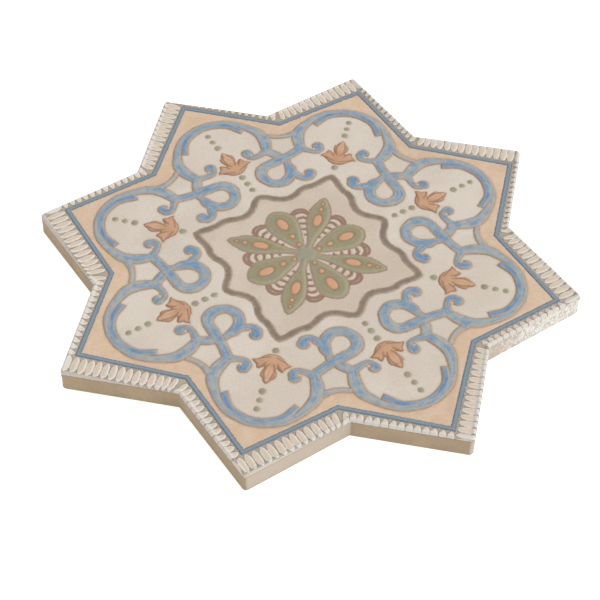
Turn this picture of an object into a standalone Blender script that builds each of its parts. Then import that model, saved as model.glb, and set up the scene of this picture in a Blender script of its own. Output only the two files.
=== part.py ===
"""Eight-pointed star tile of fired clay, 10 mm thick and 229 mm across its points before their rounding.

The outline is the traditional star of two equal squares, one turned by 45 degrees on the other. The tile
lies face up: its bedding face is on the plane z = 0, its centre is on the Z axis, and four of its points lie
on X and Y. Within the raised rim its face is sunk, and the ornament's main forms stand on it in low relief.
"""

import math

import bmesh
import bpy

# Driving dimensions, in metres
POINT_RADIUS = 0.1143
THICKNESS = 0.010
TIP_ROUNDING = 0.0018
NOTCH_ROUNDING = 0.0010
FACE_ARRIS = 0.0014
BED_ARRIS = 0.0005

# The star of two squares
POINTS = 8
STEP_ANGLE = math.pi / POINTS
NOTCH_RADIUS = POINT_RADIUS * math.cos(math.pi / 4) / math.cos(STEP_ANGLE)

# Fired clay, seen on the sides and the back
CLAY_COLOUR = (0.52, 0.43, 0.30, 1.0)
CLAY_ROUGHNESS = 0.85

# Heights of the relief, in metres above the bed
FIELD_HEIGHT = 0.0092
LINE_HEIGHT = 0.00945
RIBBON_HEIGHT = 0.0096
CRESCENT_HEIGHT = 0.0097
STRAND_HEIGHT = 0.00965
LEAF_HEIGHT = 0.00962
PETAL_HEIGHT = 0.00964
BEAD_HEIGHT = 0.00958
ROOTING = 0.0004
CLEARANCE = 0.001

# The ornament lies a little turned, out of square and off centre on the tile. Its lengths are in thousandths
# of POINT_RADIUS.
UNIT = POINT_RADIUS / 1000
ORNAMENT_TURN = math.radians(-2.22)
ORNAMENT_SHEAR = -0.0044
ORNAMENT_CENTRE = (5.2, 6.6)

# The line star: distance from the centre to the outer edges of its two squares, and the line's width
LINE_APOTHEMS = (655.3, 661.5)
LINE_WIDTH = 19.0

# Ribbons near a point, in its own axes: out along the point, to its left, and half the ribbon's width
RING = (
    (530, 148, 17), (567, 165, 23), (597, 176, 25), (642, 178, 23.5), (693, 155, 18), (731, 129, 15.5),
    (764, 91.5, 15), (783, 50, 14), (789, 0, 14),
)
CRESCENT = (
    (686, 121, 12.5), (706.5, 114.5, 15), (730, 101.5, 15), (752, 78.5, 14.7), (769, 40, 14), (776, 0, 14.5),
)
VOLUTE = ((541, 150, 17), (537, 128, 14.5), (535, 108, 13.5), (541, 88, 15), (556, 81, 14))
VOLUTE_BULB = (568, 88, 23)

# Ribbons of the knot at a notch, in the axes of the point on its right
STRAND = ((530, 157, 17), (490, 185, 19.7), (445, 223.5, 22.3), (410, 257, 21.5), (392, 264, 21))
LOOP = (
    (410, 257, 21.5), (380, 267, 24), (347.5, 255, 23.6), (328.5, 225, 21), (325.5, 205, 21.5),
    (336, 175, 22), (355, 161, 22.7), (384, 153.5, 22.5), (417.5, 161, 22.5), (440, 178, 16), (465, 190, 12),
)
CURL = ((412, 158, 15), (398, 140, 17.5), (389, 118, 17.5), (389, 98, 18), (399, 86, 17))
CURL_BULB = (415, 84, 24.5)
NEAR_LINK = ((470, 215, 15), (474.5, 225.6, 21.5), (483, 245.4, 20.5), (490, 272, 17))
FAR_LINK = ((574, 292, 10), (579, 262, 12), (587, 238, 12.5), (599, 217, 13.5), (608, 200, 12))

# Half outlines that are mirrored in the axis of their point
PALMETTE = (
    (484.5, 0), (486, 15), (493, 29), (515, 52), (521, 71.5), (540, 52), (557, 46), (557, 38), (544, 22.5),
    (562, 25.5), (580, 28.5), (589, 26), (594, 18.5), (618, 0),
)
LONG_PETAL = ((295, 0), (270, 20), (230, 37), (195, 41.5), (160, 37), (120, 27), (70, 12.5), (42, 10))
BOSS_RADIUS = 44.0
ROUND_PETAL = (
    (244, 0), (237.6, 18), (222, 38), (196, 54.4), (171, 58), (148, 54.4), (102.5, 38.9), (62, 22.6),
    (40, 16),
)

# Beads on the axis of every point, and those inside the palmettes of the even and of the odd points
OUTER_BEADS = ((653, 15), (691, 12.5), (730, 12.5))
INNER_BEADS = (((467, 14),), ((385, 12.5), (423, 13.5), (462.5, 14)))

# How finely the roundings are divided
BOSS_SIDES = 16
BULB_SIDES = 10
BEAD_SIDES = 6
TIP_STEPS = 6
NOTCH_STEPS = 3
ARRIS_SEGMENTS = 3
ROUND_PROFILE = 0.5

MERGE_DISTANCE = 0.00001


def clay_material():
    """Matt fired clay."""
    clay = bpy.data.materials.new("fired_clay")
    clay.use_nodes = True
    shader = clay.node_tree.nodes["Principled BSDF"]
    shader.inputs["Base Color"].default_value = CLAY_COLOUR
    shader.inputs["Roughness"].default_value = CLAY_ROUGHNESS
    shader.inputs["Metallic"].default_value = 0.0
    return clay


def rounded_corner(corner_radius, angle, turn, rounding, steps):
    """Points of the arc that rounds one corner of the star.

    The corner lies at corner_radius in the direction angle from the centre. The outline turns there by the
    angle turn, to the left at a point and to the right at a notch, so the arc's own centre lies on the same
    ray, rounding / cos(turn / 2) inside a point or outside a notch.
    """
    side = math.copysign(1.0, turn)
    centre = corner_radius - side * rounding / math.cos(turn / 2)
    points = []
    for step in range(steps + 1):
        swing = turn * (step / steps - 0.5)
        points.append(
            (
                centre * math.cos(angle) + side * rounding * math.cos(angle + swing),
                centre * math.sin(angle) + side * rounding * math.sin(angle + swing),
            )
        )
    return points


def star_outline():
    """The outline, anticlockwise from the point on +X.

    It turns left by 90 degrees at each point of the star and right by 45 degrees at each notch.
    """
    outline = []
    for index in range(2 * POINTS):
        angle = index * STEP_ANGLE
        if index % 2 == 0:
            outline += rounded_corner(POINT_RADIUS, angle, math.pi / 2, TIP_ROUNDING, TIP_STEPS)
        else:
            outline += rounded_corner(NOTCH_RADIUS, angle, -math.pi / 4, NOTCH_ROUNDING, NOTCH_STEPS)
    return outline


def plate_mesh(outlines, low, high, collection):
    """A flat plate between two heights: a filled curve of closed outlines, thickened about its own plane."""
    curve = bpy.data.curves.new("outline", "CURVE")
    curve.dimensions = "2D"
    curve.fill_mode = "BOTH"
    curve.extrude = (high - low) / 2
    for outline in outlines:
        spline = curve.splines.new("POLY")
        spline.points.add(len(outline) - 1)
        for point, (x, y) in zip(spline.points, outline):
            point.co = (x, y, 0.0, 1.0)
        spline.use_cyclic_u = True

    drawn = bpy.data.objects.new("outline", curve)
    collection.objects.link(drawn)
    bpy.context.view_layer.update()
    mesh = bpy.data.meshes.new_from_object(drawn.evaluated_get(bpy.context.evaluated_depsgraph_get()))
    bpy.data.objects.remove(drawn)

    shape = bmesh.new()
    shape.from_mesh(mesh)
    bmesh.ops.remove_doubles(shape, verts=shape.verts, dist=MERGE_DISTANCE)
    bmesh.ops.translate(shape, vec=(0.0, 0.0, (low + high) / 2), verts=shape.verts)
    bmesh.ops.recalc_face_normals(shape, faces=shape.faces)
    shape.to_mesh(mesh)
    shape.free()
    return mesh


def slab_mesh(collection):
    """The slab of the tile, with its two rims rounded."""
    mesh = plate_mesh([star_outline()], 0.0, THICKNESS, collection)
    shape = bmesh.new()
    shape.from_mesh(mesh)
    for height, arris in ((THICKNESS, FACE_ARRIS), (0.0, BED_ARRIS)):
        make_one_face(shape, height)
        soften_rim(shape, height, arris)
    bmesh.ops.recalc_face_normals(shape, faces=shape.faces)
    shape.to_mesh(mesh)
    shape.free()
    return mesh


def is_level(corners, height):
    """True where all the corners lie at one height."""
    return all(abs(corner.co.z - height) < MERGE_DISTANCE for corner in corners)


def make_one_face(shape, height):
    """Joins the triangles that fill the curve at one height into a single flat face."""
    fill = [face for face in shape.faces if is_level(face.verts, height)]
    bmesh.ops.dissolve_faces(shape, faces=fill)


def soften_rim(shape, height, arris):
    """Rounds the sharp rim that runs round the slab at one height."""
    rim = [edge for edge in shape.edges if is_level(edge.verts, height)]
    bmesh.ops.bevel(
        shape,
        geom=rim,
        offset=arris,
        offset_type="OFFSET",
        segments=ARRIS_SEGMENTS,
        profile=ROUND_PROFILE,
        affect="EDGES",
    )


def placed(points, index):
    """Points of the ornament, in the axes of one of its points, as places on the tile."""
    angle = index * 2 * STEP_ANGLE + ORNAMENT_TURN
    places = []
    for along, aside in points:
        east = along * math.cos(angle) - aside * math.sin(angle)
        north = along * math.sin(angle) + aside * math.cos(angle)
        x = ORNAMENT_CENTRE[0] + east + ORNAMENT_SHEAR * north
        y = ORNAMENT_CENTRE[1] + north + ORNAMENT_SHEAR * east
        places.append((x * UNIT, y * UNIT))
    return places


def line_star(inset):
    """An outline of the line star, moved inwards by the inset.

    Its points are the corners of two squares of unlike size, and its notches are where their edges cross.
    """
    outline = []
    for index in range(POINTS):
        own = LINE_APOTHEMS[index % 2] - inset
        other = LINE_APOTHEMS[1 - index % 2] - inset
        corner = own * math.sqrt(2)
        outline += placed([(corner, 0.0), (other, corner - other)], index)
    return outline


def band(path):
    """The outline of a ribbon: its path moved by half its width, to the left and then back on the right."""
    left = []
    right = []
    for number, (along, aside, half) in enumerate(path):
        before = path[max(number - 1, 0)]
        after = path[min(number + 1, len(path) - 1)]
        heading = math.atan2(after[1] - before[1], after[0] - before[0])
        left.append((along - half * math.sin(heading), aside + half * math.cos(heading)))
        right.append((along + half * math.sin(heading), aside - half * math.cos(heading)))
    return left + right[::-1]


def mirrored(points):
    """Points turned over the axis of their point of the star."""
    return [(point[0], -point[1], *point[2:]) for point in points]


def disc(circle, sides):
    """A round outline given by its centre and radius."""
    along, aside, radius = circle
    turns = [2 * math.pi * side / sides for side in range(sides)]
    return [(along + radius * math.cos(turn), aside + radius * math.sin(turn)) for turn in turns]


def knot_forms(side):
    """The ribbons of one knot, on the left of its point for side 1 and on the right for side -1."""
    forms = [
        (band(STRAND), STRAND_HEIGHT),
        (band(LOOP), RIBBON_HEIGHT),
        (band(CURL), RIBBON_HEIGHT),
        (disc(CURL_BULB, BULB_SIDES), RIBBON_HEIGHT),
        (band(NEAR_LINK), RIBBON_HEIGHT),
        (band(FAR_LINK), RIBBON_HEIGHT),
    ]
    if side < 0:
        forms = [(mirrored(outline), height) for outline, height in forms]
    return forms


def point_forms(index):
    """Every form that stands on the axis of one point or beside it."""
    petal = ROUND_PETAL if index % 2 else LONG_PETAL
    forms = [
        (band(RING + tuple(mirrored(RING[-2::-1]))), RIBBON_HEIGHT),
        (band(CRESCENT + tuple(mirrored(CRESCENT[-2::-1]))), CRESCENT_HEIGHT),
        (list(PALMETTE) + mirrored(PALMETTE[-2:0:-1]), LEAF_HEIGHT),
        (list(petal) + mirrored(petal[:0:-1]), PETAL_HEIGHT),
    ]
    for volute, bulb in ((VOLUTE, VOLUTE_BULB), (mirrored(VOLUTE), mirrored([VOLUTE_BULB])[0])):
        forms.append((band(volute), RIBBON_HEIGHT))
        forms.append((disc(bulb, BULB_SIDES), RIBBON_HEIGHT))
    for along, radius in OUTER_BEADS + INNER_BEADS[index % 2]:
        forms.append((disc((along, 0.0, radius), BEAD_SIDES), BEAD_HEIGHT))
    return forms


def add_relief(tile):
    """Sinks the field within the line star and sets the forms of the ornament on it, all as one body."""
    cutters = bpy.data.collections.new("cutters")
    bpy.context.scene.collection.children.link(cutters)
    relief = bpy.data.collections.new("relief")
    bpy.context.scene.collection.children.link(relief)

    field = plate_mesh([line_star(0.0)], FIELD_HEIGHT, THICKNESS + CLEARANCE, cutters)
    sink = tile.modifiers.new("sunk field", "BOOLEAN")
    sink.operation = "DIFFERENCE"
    sink.object = add_guide("field", field, cutters)

    line = plate_mesh([line_star(0.0), line_star(LINE_WIDTH)], FIELD_HEIGHT - ROOTING, LINE_HEIGHT, relief)
    add_guide("line", line, relief)
    boss = [(disc((0.0, 0.0, BOSS_RADIUS), BOSS_SIDES), PETAL_HEIGHT)]
    for index in range(POINTS):
        forms = point_forms(index) + (knot_forms(1) + knot_forms(-1) if index % 2 == 0 else boss)
        boss = []
        for outline, height in forms:
            mesh = plate_mesh([placed(outline, index)], FIELD_HEIGHT - ROOTING, height, relief)
            add_guide("form", mesh, relief)
    join = tile.modifiers.new("relief", "BOOLEAN")
    join.operation = "UNION"
    join.operand_type = "COLLECTION"
    join.collection = relief


def add_guide(name, mesh, collection):
    """An object that only shapes the tile."""
    guide = bpy.data.objects.new(name, mesh)
    guide.hide_render = True
    guide.display_type = "WIRE"
    collection.objects.link(guide)
    return guide


def build_tile():
    """The tile, one fired piece on z = 0: the slab with softened rims and the relief on its face."""
    collection = bpy.data.collections.new("star pattern tile")
    bpy.context.scene.collection.children.link(collection)
    tile = bpy.data.objects.new("star_tile", slab_mesh(collection))
    tile.data.materials.clear()
    tile.data.materials.append(clay_material())
    collection.objects.link(tile)
    add_relief(tile)


for old in list(bpy.data.objects):
    bpy.data.objects.remove(old)
build_tile()
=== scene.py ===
"""Star pattern tile: an eight-pointed tile of pressed, painted and fired clay, on a white light table."""

import math

import bmesh
import bpy
import numpy as np
from mathutils import Matrix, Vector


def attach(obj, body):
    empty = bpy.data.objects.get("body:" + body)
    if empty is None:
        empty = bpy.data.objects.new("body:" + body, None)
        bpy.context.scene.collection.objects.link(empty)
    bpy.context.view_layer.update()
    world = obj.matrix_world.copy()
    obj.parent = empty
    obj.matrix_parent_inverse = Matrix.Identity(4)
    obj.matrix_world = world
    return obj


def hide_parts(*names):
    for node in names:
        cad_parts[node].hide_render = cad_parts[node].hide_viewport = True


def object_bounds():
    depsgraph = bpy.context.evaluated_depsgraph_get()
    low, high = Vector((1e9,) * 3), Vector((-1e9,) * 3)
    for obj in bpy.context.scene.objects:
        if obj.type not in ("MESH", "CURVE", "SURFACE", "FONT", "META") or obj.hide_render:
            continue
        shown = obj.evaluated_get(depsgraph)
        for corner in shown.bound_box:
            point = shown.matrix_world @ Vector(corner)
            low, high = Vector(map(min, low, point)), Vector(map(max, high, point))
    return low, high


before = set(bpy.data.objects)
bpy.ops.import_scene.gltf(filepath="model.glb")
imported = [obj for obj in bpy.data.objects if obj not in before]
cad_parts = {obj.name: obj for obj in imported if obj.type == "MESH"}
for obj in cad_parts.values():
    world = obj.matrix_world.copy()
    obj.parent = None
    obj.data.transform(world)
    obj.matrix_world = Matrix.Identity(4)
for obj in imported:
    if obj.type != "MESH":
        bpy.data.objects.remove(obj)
cad_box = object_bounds()


# Sides of the tile
#
# The tile is one slab of clay, pressed in a mould and fired once. Its sides are the plain wall of the mould,
# bare and a little uneven, with slip that ran or was wiped over those on the right. The sides that face the
# lamp on the right are also painted lighter, as painted light, and the foot of every side is painted darker
# towards the bed, as painted shade.

POINT_RADIUS = 0.1143
TIP_ROUNDING = 0.0018
NOTCH_ROUNDING = 0.0010
ARRIS = 0.0010
BED_ARRIS = 0.0005
PAINT_DEPTH = 0.0019
THICKNESS = cad_box[1].z - cad_box[0].z

POINTS = 8
HALF_POINT = math.pi / 8
NOTCH_RADIUS = POINT_RADIUS * math.cos(math.pi / 4) / math.cos(HALF_POINT)

EDGE_COLUMNS = 208
TIP_COLUMNS = 12
NOTCH_COLUMNS = 6
WALL_ROWS = 5
BED_ARRIS_ROWS = 3
UNEVENNESS = 0.00008

pieces = []


def turned(u, w, angle):
    """Points (u, w) of a point's own axes, turned by the angle about the tile's centre."""
    cosine, sine = math.cos(angle), math.sin(angle)
    return u * cosine - w * sine, u * sine + w * cosine


def flank(inset):
    """The outline from the middle of a point to the middle of a notch, moved inwards by the inset.

    The axis u runs out through the point and w to its left. The arc of radius TIP_ROUNDING - inset turns by
    45 degrees, the straight edge follows, and the arc of radius NOTCH_ROUNDING + inset turns back by 22.5.
    """
    swing = np.linspace(0.0, math.pi / 4, TIP_COLUMNS + 1)
    radius = TIP_ROUNDING - inset
    centre = POINT_RADIUS - TIP_ROUNDING * math.sqrt(2)
    tip = np.stack([centre + radius * np.cos(swing), radius * np.sin(swing)], axis=1)

    lean = np.linspace(math.pi / 4, HALF_POINT, NOTCH_COLUMNS + 1)
    radius = NOTCH_ROUNDING + inset
    centre = NOTCH_RADIUS + NOTCH_ROUNDING / math.cos(HALF_POINT)
    notch = centre * np.array([math.cos(HALF_POINT), math.sin(HALF_POINT)])
    notch = notch - radius * np.stack([np.cos(lean), np.sin(lean)], axis=1)

    share = np.linspace(0.0, 1.0, EDGE_COLUMNS - TIP_COLUMNS - NOTCH_COLUMNS + 1)[1:-1, None]
    straight = tip[-1] + (notch[0] - tip[-1]) * share
    return np.concatenate([tip, straight, notch])


def outline(index, inset):
    """The outline round one point, from the notch on its right to the notch on its left, as x and y."""
    left = flank(inset)
    right = left[:0:-1] * (1.0, -1.0)
    return np.stack(turned(*np.concatenate([right, left]).T, index * 2 * HALF_POINT))


def hand(x, y, seed, wavelength):
    """A smooth uneven value, mostly between -1 and 1: seven waves that cross at chance angles."""
    chance = np.random.default_rng(seed)
    total = np.zeros_like(x)
    for _ in range(7):
        angle, phase = chance.uniform(0.0, 2 * math.pi, 2)
        length = wavelength * chance.uniform(0.6, 1.6)
        total += np.sin((x * math.cos(angle) + y * math.sin(angle)) * 2 * math.pi / length + phase)
    return total / 2.6


def side_points(index):
    """The side round one point, from where the paint ends, PAINT_DEPTH below the face, down to the bed.

    A row at height z is the outline at its inset. The wall between is pushed in by up to UNEVENNESS, as the
    sine of its share of the height, so it is true at both rims.
    """
    drop = THICKNESS - PAINT_DEPTH - BED_ARRIS
    profile = [(0.0, THICKNESS - PAINT_DEPTH - drop * row / WALL_ROWS) for row in range(WALL_ROWS + 1)]
    fall = np.linspace(0.0, math.pi / 2, BED_ARRIS_ROWS + 1)[1:]
    profile += [(BED_ARRIS * (1 - math.cos(a)), BED_ARRIS * (1 - math.sin(a))) for a in fall]
    rows = []
    for inset, height in profile:
        x, y = outline(index, inset)
        share = np.clip((height - BED_ARRIS) / drop, 0.0, 1.0)
        dent = UNEVENNESS * (1.5 + hand(x + 3 * height, y - 2 * height, 11, 0.021))
        dent = dent * math.sin(math.pi * share)
        shrink = 1 - dent / POINT_RADIUS
        rows.append(np.stack([x * shrink, y * shrink, np.full_like(x, height)], axis=1))
    return np.stack(rows)


def unit_grid(rows, columns):
    """A place in the unit square for every point of a grid."""
    return np.stack(np.meshgrid(np.linspace(0, 1, rows), np.linspace(0, 1, columns), indexing="ij"), axis=2)


def add_piece(name, points, atlas, material, fields=None):
    """One piece from a grid of points, of shape (rows, columns, 3), that rides on the tile's body.

    Its quads are wound so that they face along row x column. The atlas holds each point's place in the
    piece's own unit square, and the fields are named values for its material, one for each point.
    """
    rows, columns = points.shape[:2]
    first = (np.arange(rows - 1)[:, None] * columns + np.arange(columns - 1)).ravel()
    quads = np.stack([first, first + columns, first + columns + 1, first + 1], axis=1)
    mesh = bpy.data.meshes.new(name)
    mesh.from_pydata(points.reshape(-1, 3).tolist(), [], quads.tolist())
    places = mesh.uv_layers.new(name="OFBake")
    places.data.foreach_set("uv", atlas.reshape(-1, 2)[quads.ravel()].astype(np.float32).ravel())
    for field, values in (fields or {}).items():
        attribute = mesh.attributes.new(field, "FLOAT", "POINT")
        attribute.data.foreach_set("value", values.astype(np.float32).ravel())
    mesh.shade_smooth()
    mesh.materials.append(material)
    piece = bpy.data.objects.new(name, mesh)
    bpy.context.scene.collection.objects.link(piece)
    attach(piece, "root")
    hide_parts("star_tile")
    pieces.append(piece)


def srgb(red, green, blue):
    """A colour as it is seen on a screen, given in 0 to 255, as the linear colour that shaders take."""
    seen = np.array([red, green, blue]) / 255
    linear = np.where(seen <= 0.04045, seen / 12.92, ((seen + 0.055) / 1.055) ** 2.4)
    return (*linear.tolist(), 1.0)


class Paint:
    """Short ways to add nodes to a shader tree."""

    def __init__(self, tree):
        self.nodes = tree.nodes
        self.links = tree.links

    def put(self, socket, value):
        """Sets a socket to a value or links another socket to it."""
        if isinstance(value, bpy.types.NodeSocket):
            self.links.new(value, socket)
        else:
            socket.default_value = value

    def math(self, operation, *values):
        """A Math node."""
        node = self.nodes.new("ShaderNodeMath")
        node.operation = operation
        for socket, value in zip(node.inputs, values):
            self.put(socket, value)
        return node.outputs[0]

    def about(self, value, size):
        """A value about 0.5, such as a noise, as one about 0 of the given size."""
        return self.math("MULTIPLY", self.math("SUBTRACT", value, 0.5), size)

    def field(self, name):
        """The value of a named field of the mesh."""
        node = self.nodes.new("ShaderNodeAttribute")
        node.attribute_name = name
        return node.outputs["Fac"]

    def mix(self, share, first, second):
        """Two colours mixed."""
        node = self.nodes.new("ShaderNodeMix")
        node.data_type = "RGBA"
        self.put(node.inputs["Factor"], share)
        self.put(node.inputs[6], first)
        self.put(node.inputs[7], second)
        return node.outputs[2]

    def step(self, value, low, high, at_low=0.0, at_high=1.0):
        """A smooth step from one value at low to another at high."""
        node = self.nodes.new("ShaderNodeMapRange")
        node.interpolation_type = "SMOOTHSTEP"
        self.put(node.inputs["Value"], value)
        self.put(node.inputs["From Min"], low)
        self.put(node.inputs["From Max"], high)
        self.put(node.inputs["To Min"], at_low)
        self.put(node.inputs["To Max"], at_high)
        return node.outputs["Result"]

    def noise(self, place, scale, detail=3.0, roughness=0.55):
        """A noise value about 0.5."""
        node = self.nodes.new("ShaderNodeTexNoise")
        self.put(node.inputs["Vector"], place)
        self.put(node.inputs["Scale"], scale)
        self.put(node.inputs["Detail"], detail)
        self.put(node.inputs["Roughness"], roughness)
        return node.outputs["Fac"]

    def vector(self, x, y, z):
        """A vector of three values."""
        node = self.nodes.new("ShaderNodeCombineXYZ")
        for socket, value in zip(node.inputs, (x, y, z)):
            self.put(socket, value)
        return node.outputs[0]

    def scaled(self, vector, factor):
        """A vector or a colour, times a value."""
        node = self.nodes.new("ShaderNodeVectorMath")
        node.operation = "SCALE"
        self.put(node.inputs[0], vector)
        self.put(node.inputs["Scale"], factor)
        return node.outputs[0]

    def group(self, tree, *values):
        """A node group with its inputs set."""
        node = self.nodes.new("ShaderNodeGroup")
        node.node_tree = tree
        for socket, value in zip(node.inputs, values):
            self.put(socket, value)
        return node.outputs


def fired_grain():
    """The grain of fired clay: a broad mottle, a fine speckle and the normal of its tooth."""
    tree = bpy.data.node_groups.new("fired_grain", "ShaderNodeTree")
    tree.interface.new_socket("Place", in_out="INPUT", socket_type="NodeSocketVector")
    for name in ("Mottle Scale", "Grain Scale", "Tooth"):
        tree.interface.new_socket(name, in_out="INPUT", socket_type="NodeSocketFloat")
    for name in ("Mottle", "Grain"):
        tree.interface.new_socket(name, in_out="OUTPUT", socket_type="NodeSocketFloat")
    tree.interface.new_socket("Normal", in_out="OUTPUT", socket_type="NodeSocketVector")
    paint = Paint(tree)
    given = tree.nodes.new("NodeGroupInput").outputs
    result = tree.nodes.new("NodeGroupOutput").inputs
    grain = paint.noise(given["Place"], given["Grain Scale"], 4.0, 0.62)
    bump = tree.nodes.new("ShaderNodeBump")
    bump.inputs["Distance"].default_value = 0.0002
    paint.put(bump.inputs["Strength"], given["Tooth"])
    paint.put(bump.inputs["Height"], grain)
    paint.put(result["Mottle"], paint.noise(given["Place"], given["Mottle Scale"], 3.0))
    paint.put(result["Grain"], grain)
    paint.put(result["Normal"], bump.outputs[0])
    return tree


def new_material(name, roughness):
    """A material with its Principled shader, the ways to add nodes to it, and the object's own axes."""
    material = bpy.data.materials.new(name)
    material.use_nodes = True
    paint = Paint(material.node_tree)
    shader = paint.nodes["Principled BSDF"]
    shader.inputs["Roughness"].default_value = roughness
    return material, paint, shader, paint.nodes.new("ShaderNodeTexCoord").outputs["Object"]


def clay_colour(paint, place):
    """Sandy clay, with thin slip on the sides that face the right, rough and white at the far right.

    The sides that face the lamp on the right are also painted lighter, as painted light, and the foot of
    the wall is painted darker towards the bed, as painted shade.
    """
    mottle = paint.noise(place, 60.0)
    speckle = paint.noise(place, 900.0, 4.0, 0.62)
    clay = paint.mix(paint.step(mottle, 0.3, 0.7), srgb(156, 136, 109), srgb(144, 124, 98))
    clay = paint.mix(paint.step(speckle, 0.35, 0.7, 0.0, 0.3), clay, srgb(168, 151, 126))
    # Painted light: the sides that face the lamp on the right are painted a lighter clay colour.
    facing = paint.field("facing")
    clay = paint.mix(paint.step(facing, 0.65, 0.95, 0.0, 0.65), clay, srgb(180, 168, 156))
    split = paint.nodes.new("ShaderNodeSeparateXYZ")
    paint.put(split.inputs[0], place)
    across, forth, height = split.outputs
    rough_place = paint.vector(across, forth, paint.math("MULTIPLY", height, 0.6))
    rubbed = paint.about(paint.noise(rough_place, 1000.0, 4.0, 0.75), 1.0)
    near_right = paint.step(across, 0.045, 0.1, -0.45, 0.06)
    # The rough white slip is kept to the sides that face the lamp: real slip, and in part painted light.
    slip = paint.step(paint.math("ADD", near_right, rubbed), -0.05, 0.12)
    slip = paint.math("MULTIPLY", slip, paint.step(facing, 0.7, 1.0))
    clay = paint.mix(slip, clay, srgb(205, 202, 198))
    # Painted shade: the lowest 3 mm of the wall, and the bed, are painted darker towards the table.
    return paint.mix(paint.step(height, 0.0, 0.003, 0.15, 0.0), clay, srgb(132, 113, 90))


def facing_right(x, y):
    """How far the outline faces the right and a little to the front, from rows of places along it."""
    step_x, step_y = x[..., 2:] - x[..., :-2], y[..., 2:] - y[..., :-2]
    facing = (step_y + 0.6 * step_x) / np.hypot(step_x, step_y)
    return np.concatenate([facing[..., :1], facing, facing[..., -1:]], axis=-1)


def bare_clay():
    """The clay as it left the mould, fired hard and matt."""
    material, paint, shader, place = new_material("bare_clay", 0.85)
    paint.put(shader.inputs["Base Color"], clay_colour(paint, place))
    paint.put(shader.inputs["Normal"], paint.group(GRAIN, place, 60.0, 900.0, 0.4)[2])
    return material


GRAIN = fired_grain()
BARE_CLAY = bare_clay()

for index in range(POINTS):
    points = side_points(index)
    fields = {"facing": facing_right(points[..., 0], points[..., 1])}
    add_piece(f"side_{index + 1}", points, unit_grid(*points.shape[:2]), BARE_CLAY, fields)


# Bed
#
# The underside is the flat back of the slab. It was struck off level while the clay was wet and lay on the
# kiln shelf, so it is bare clay with nothing on it.

BED_RINGS = (0.0, 0.01, 0.25, 0.5, 0.75, 1.0)
MERGE_DISTANCE = 1e-7


def bed_points():
    """The bed as rings of the whole outline, drawn in towards the centre, where the last one is a point."""
    ring = np.concatenate([outline(index, BED_ARRIS)[:, :-1] for index in range(POINTS)], axis=1)
    ring = np.concatenate([ring, ring[:, :1]], axis=1)
    flat = np.stack([*ring, np.zeros_like(ring[0])], axis=1)
    return np.stack([flat * (1 - pull) for pull in BED_RINGS])


points = bed_points()
add_piece("bed", points, points[..., :2] / (2 * POINT_RADIUS) + 0.5, BARE_CLAY)
shape = bmesh.new()
shape.from_mesh(pieces[-1].data)
bmesh.ops.remove_doubles(shape, verts=shape.verts, dist=MERGE_DISTANCE)
shape.to_mesh(pieces[-1].data)
shape.free()


# Frame of the ornament
#
# The ornament was pressed by a second mould, which sat a little turned, out of square and off centre on the
# slab, so the rim is wider on the left of every point. A slate line frames it, and its points are a little
# blunter than the tile's. The lengths are in thousandths of the tile's radius.

UNIT = POINT_RADIUS / 1000
ORNAMENT_TURN = math.radians(-2.22)
ORNAMENT_CENTRE = (5.2, 6.6)
ORNAMENT_SHEAR = -0.0044
LINE_SHIFT = (-2.0, 0.6)
LINE_DISTANCE = (661.5, 667.7)
LINE_LEAN = math.radians(44.23)
LINE_HALF = 9.5
LINE_RISE = 0.00022
LINE_GROOVE = 0.00010
FAR = 99.0


def to_tile(u, w, index):
    """Points of the ornament, in the axes of one of its points, as places on the tile in metres.

    They are turned, sheared alike along both axes by ORNAMENT_SHEAR, and moved to the ornament's centre.
    """
    x, y = turned(u, w, index * 2 * HALF_POINT + ORNAMENT_TURN)
    x, y = x + ORNAMENT_SHEAR * y, y + ORNAMENT_SHEAR * x
    return (x + ORNAMENT_CENTRE[0]) * UNIT, (y + ORNAMENT_CENTRE[1]) * UNIT


def to_ornament(x, y, index):
    """Places on the tile as points of the ornament in the axes of one of its points: to_tile backwards."""
    x, y = x / UNIT - ORNAMENT_CENTRE[0], y / UNIT - ORNAMENT_CENTRE[1]
    square = 1 - ORNAMENT_SHEAR**2
    x, y = (x - ORNAMENT_SHEAR * y) / square, (y - ORNAMENT_SHEAR * x) / square
    return turned(x, y, -index * 2 * HALF_POINT - ORNAMENT_TURN)


def line_axes(x, y, index):
    """Places on the tile in the axes of one point of the line star, which lies off the ornament's centre."""
    return to_ornament(x - LINE_SHIFT[0] * UNIT, y - LINE_SHIFT[1] * UNIT, index)


def line_flanks(u, w, index):
    """Distances beyond the line star's outer edge on the left and on the right flank of one point."""
    along, across = u * math.cos(LINE_LEAN), w * math.sin(LINE_LEAN)
    return along + across - LINE_DISTANCE[index % 2], along - across - LINE_DISTANCE[index % 2]


def line_corners(index):
    """The line star's outer edge at one point: its corner and the notch on its left, as u and w.

    The notch is where the left flank meets the right flank of the next point, which faces 45 degrees further.
    """
    own, other = LINE_DISTANCE[index % 2], LINE_DISTANCE[1 - index % 2]
    first, second = LINE_LEAN, math.pi / 4 - LINE_LEAN
    whole = math.sin(second - first)
    u = (own * math.sin(second) - other * math.sin(first)) / whole
    w = (other * math.cos(first) - own * math.cos(second)) / whole
    return (own / math.cos(first), 0.0), (u, w)


def line_to_tile(u, w, index):
    """Points of the line star as places on the tile in metres."""
    x, y = to_tile(u, w, index)
    return np.stack([x + LINE_SHIFT[0] * UNIT, y + LINE_SHIFT[1] * UNIT])


def swell(inset, width):
    """A rounded rise from 0 at an edge to 1 at the distance width inside it: a quarter of a sine."""
    return np.sin(np.clip(inset / width, 0.0, 1.0) * math.pi / 2)


def groove(distance, width):
    """A soft groove of depth 1 along a line: the bell curve of the distance over the width."""
    return np.exp(-((distance / width) ** 2))


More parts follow.
